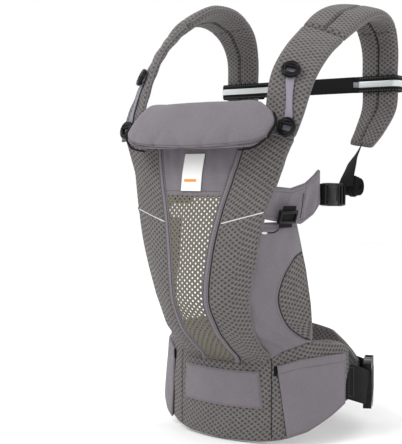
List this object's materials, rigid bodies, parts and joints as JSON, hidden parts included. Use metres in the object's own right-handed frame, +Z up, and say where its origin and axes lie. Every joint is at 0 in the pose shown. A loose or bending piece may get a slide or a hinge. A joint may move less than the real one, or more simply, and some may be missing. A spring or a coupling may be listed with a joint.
{
  "type": "soft baby carrier",
  "caption": "Soft structured baby carrier with padded shoulder straps, waist belt, folding head support, leg wings and side-release buckles, shown in its worn shape.",
  "frame": {"origin": "front centre of the waist belt's bottom edge, on the plane of symmetry", "axes": "+Z up the wearer's body, -Y outwards through the panel, +X to the right seen from the front"},
  "size_m": [0.3341, 0.3602, 0.6532],
  "materials": {
    "grey_fabric": "plain woven, matte",
    "spacer_mesh": "knitted spacer mesh with staggered dimples",
    "window_mesh": "open see-through mesh",
    "black_webbing": "tight woven tape",
    "black_plastic": "moulded acetal, slight sheen",
    "white_tag": "blank woven label"
  },
  "bodies": {
    "carrier": {"adjuster_webbing_left": "black_webbing", "adjuster_webbing_right": "black_webbing", "belt_pad": "spacer_mesh", "belt_patch": "grey_fabric", "blank_tag": "white_tag", "leg_wing_left": "grey_fabric", "leg_wing_right": "grey_fabric", "pocket_left": "grey_fabric", "pocket_right": "grey_fabric", "ring_button_lower_left": "black_plastic", "ring_button_lower_right": "black_plastic", "ring_button_upper_left": "black_plastic", "ring_button_upper_right": "black_plastic", "ring_webbing_left": "grey_fabric", "ring_webbing_right": "grey_fabric", "seat_strap_left": "black_webbing", "seat_strap_right": "black_webbing", "side_buckle_socket_left": "black_plastic", "side_buckle_socket_right": "black_plastic", "side_panel_lower_left": "spacer_mesh", "side_panel_lower_right": "spacer_mesh", "side_panel_upper_left": "spacer_mesh", "side_panel_upper_right": "spacer_mesh", "side_tab_left": "grey_fabric", "side_tab_right": "grey_fabric", "strap_pad_left": "spacer_mesh", "strap_pad_right": "spacer_mesh", "strap_yoke_left": "spacer_mesh", "strap_yoke_right": "spacer_mesh", "top_panel": "grey_fabric", "trim_tape_left": "grey_fabric", "trim_tape_right": "grey_fabric", "waist_buckle_socket": "black_plastic", "waist_webbing_left": "black_webbing", "waist_webbing_right": "black_webbing", "window_mesh": "window_mesh"},
    "head_support_body": {"head_support": "grey_fabric", "elastic_loop_left": "black_webbing", "elastic_loop_right": "black_webbing"},
    "chest_strap_body": {"chest_sleeve_left": "black_webbing", "chest_sleeve_right": "black_webbing", "chest_webbing": "black_webbing", "chest_buckle_socket": "black_plastic"},
    "waist_buckle_plug_body": {"waist_buckle_plug": "black_plastic"},
    "waist_buckle_prong_a_body": {"waist_buckle_prong_a": "black_plastic"},
    "waist_buckle_prong_b_body": {"waist_buckle_prong_b": "black_plastic"},
    "side_buckle_plug_body_right": {"side_buckle_plug_right": "black_plastic", "webbing_roll_right": "black_webbing"},
    "side_buckle_prong_a_body_right": {"side_buckle_prong_a_right": "black_plastic"},
    "side_buckle_prong_b_body_right": {"side_buckle_prong_b_right": "black_plastic"},
    "side_buckle_plug_body_left": {"side_buckle_plug_left": "black_plastic", "webbing_roll_left": "black_webbing"},
    "side_buckle_prong_a_body_left": {"side_buckle_prong_a_left": "black_plastic"},
    "side_buckle_prong_b_body_left": {"side_buckle_prong_b_left": "black_plastic"},
    "chest_buckle_plug_body": {"chest_buckle_plug": "black_plastic"},
    "chest_buckle_prong_a_body": {"chest_buckle_prong_a": "black_plastic"},
    "chest_buckle_prong_b_body": {"chest_buckle_prong_b": "black_plastic"},
    "tri_glide_body_right": {"tri_glide_right": "black_plastic"},
    "tri_glide_body_left": {"tri_glide_left": "black_plastic"}
  },
  "joints": [
    {"name": "head_support_fold", "type": "hinge", "parent": "carrier", "child": "head_support_body", "pos_m": [0, -0.04, 0.482], "axis": [-1, 0, 0], "range_deg": [0, 110]},
    {"name": "chest_strap_height", "type": "slide", "parent": "carrier", "child": "chest_strap_body", "axis": [0, 0, 1], "range_m": [-0.012, 0.03]},
    {"name": "waist_buckle_release", "type": "slide", "parent": "carrier", "child": "waist_buckle_plug_body", "axis": [0.4115, -0.9114, 0], "range_m": [0, 0.03], "deforming": ["waist_webbing_right", "waist_buckle_prong_a", "waist_buckle_prong_b"]},
    {"name": "waist_buckle_squeeze", "type": "hinge", "parent": "waist_buckle_plug_body", "child": "waist_buckle_prong_a_body", "pos_m": [0.1514, 0.17684, 0.0356], "axis": [0.9114, 0.4115, 0], "range_deg": [0, 7], "stiffness_Nm_per_rad": 0.2},
    {"name": "waist_buckle_squeeze_b", "type": "hinge", "parent": "waist_buckle_plug_body", "child": "waist_buckle_prong_b_body", "pos_m": [0.1514, 0.17684, 0.1004], "axis": [0.9114, 0.4115, 0], "range_deg": [-7, 0], "stiffness_Nm_per_rad": 0.2},
    {"name": "side_buckle_release_right", "type": "slide", "parent": "carrier", "child": "side_buckle_plug_body_right", "axis": [0.0504, 0.9983, -0.0302], "range_m": [0, 0.024], "deforming": ["adjuster_webbing_right", "side_buckle_prong_a_right", "side_buckle_prong_b_right"]},
    {"name": "side_buckle_squeeze_right", "type": "hinge", "parent": "side_buckle_plug_body_right", "child": "side_buckle_prong_a_body_right", "pos_m": [0.13821, 0.09432, 0.36737], "axis": [0.9987, -0.0504, 0.0015], "range_deg": [0, 7], "stiffness_Nm_per_rad": 0.2},
    {"name": "side_buckle_squeeze_b_right", "type": "hinge", "parent": "side_buckle_plug_body_right", "child": "side_buckle_prong_b_body_right", "pos_m": [0.13821, 0.09357, 0.34258], "axis": [0.9987, -0.0504, 0.0015], "range_deg": [-7, 0], "stiffness_Nm_per_rad": 0.2},
    {"name": "side_buckle_release_left", "type": "slide", "parent": "carrier", "child": "side_buckle_plug_body_left", "axis": [-0.0504, 0.9983, -0.0302], "range_m": [0, 0.024], "deforming": ["adjuster_webbing_left", "side_buckle_prong_a_left", "side_buckle_prong_b_left"]},
    {"name": "side_buckle_squeeze_left", "type": "hinge", "parent": "side_buckle_plug_body_left", "child": "side_buckle_prong_a_body_left", "pos_m": [-0.13821, 0.09432, 0.36737], "axis": [0.9987, 0.0504, -0.0015], "range_deg": [0, 7], "stiffness_Nm_per_rad": 0.2},
    {"name": "side_buckle_squeeze_b_left", "type": "hinge", "parent": "side_buckle_plug_body_left", "child": "side_buckle_prong_b_body_left", "pos_m": [-0.13821, 0.09357, 0.34258], "axis": [0.9987, 0.0504, -0.0015], "range_deg": [-7, 0], "stiffness_Nm_per_rad": 0.2},
    {"name": "chest_buckle_release", "type": "slide", "parent": "chest_strap_body", "child": "chest_buckle_plug_body", "axis": [1, 0, 0], "range_m": [0, 0.024], "deforming": ["chest_webbing", "chest_buckle_prong_a", "chest_buckle_prong_b"]},
    {"name": "chest_buckle_squeeze", "type": "hinge", "parent": "chest_buckle_plug_body", "child": "chest_buckle_prong_a_body", "pos_m": [-0.012, 0.235, 0.5364], "axis": [0, -1, 0], "range_deg": [0, 7], "stiffness_Nm_per_rad": 0.2},
    {"name": "chest_buckle_squeeze_b", "type": "hinge", "parent": "chest_buckle_plug_body", "child": "chest_buckle_prong_b_body", "pos_m": [-0.012, 0.235, 0.5116], "axis": [0, -1, 0], "range_deg": [-7, 0], "stiffness_Nm_per_rad": 0.2},
    {"name": "tri_glide_slide_right", "type": "slide", "parent": "carrier", "child": "tri_glide_body_right", "axis": [0.3063, -0.0783, 0.9487], "range_m": [-0.004, 0.008]},
    {"name": "tri_glide_slide_left", "type": "slide", "parent": "carrier", "child": "tri_glide_body_left", "axis": [-0.3063, -0.0783, 0.9487], "range_m": [-0.004, 0.008]}
  ],
  "couplings": [
    {"joint": "waist_buckle_squeeze_b", "follows": "waist_buckle_squeeze", "ratio": -1},
    {"joint": "side_buckle_squeeze_b_right", "follows": "side_buckle_squeeze_right", "ratio": -1},
    {"joint": "side_buckle_squeeze_b_left", "follows": "side_buckle_squeeze_left", "ratio": -1},
    {"joint": "chest_buckle_squeeze_b", "follows": "chest_buckle_squeeze", "ratio": -1}
  ]
}
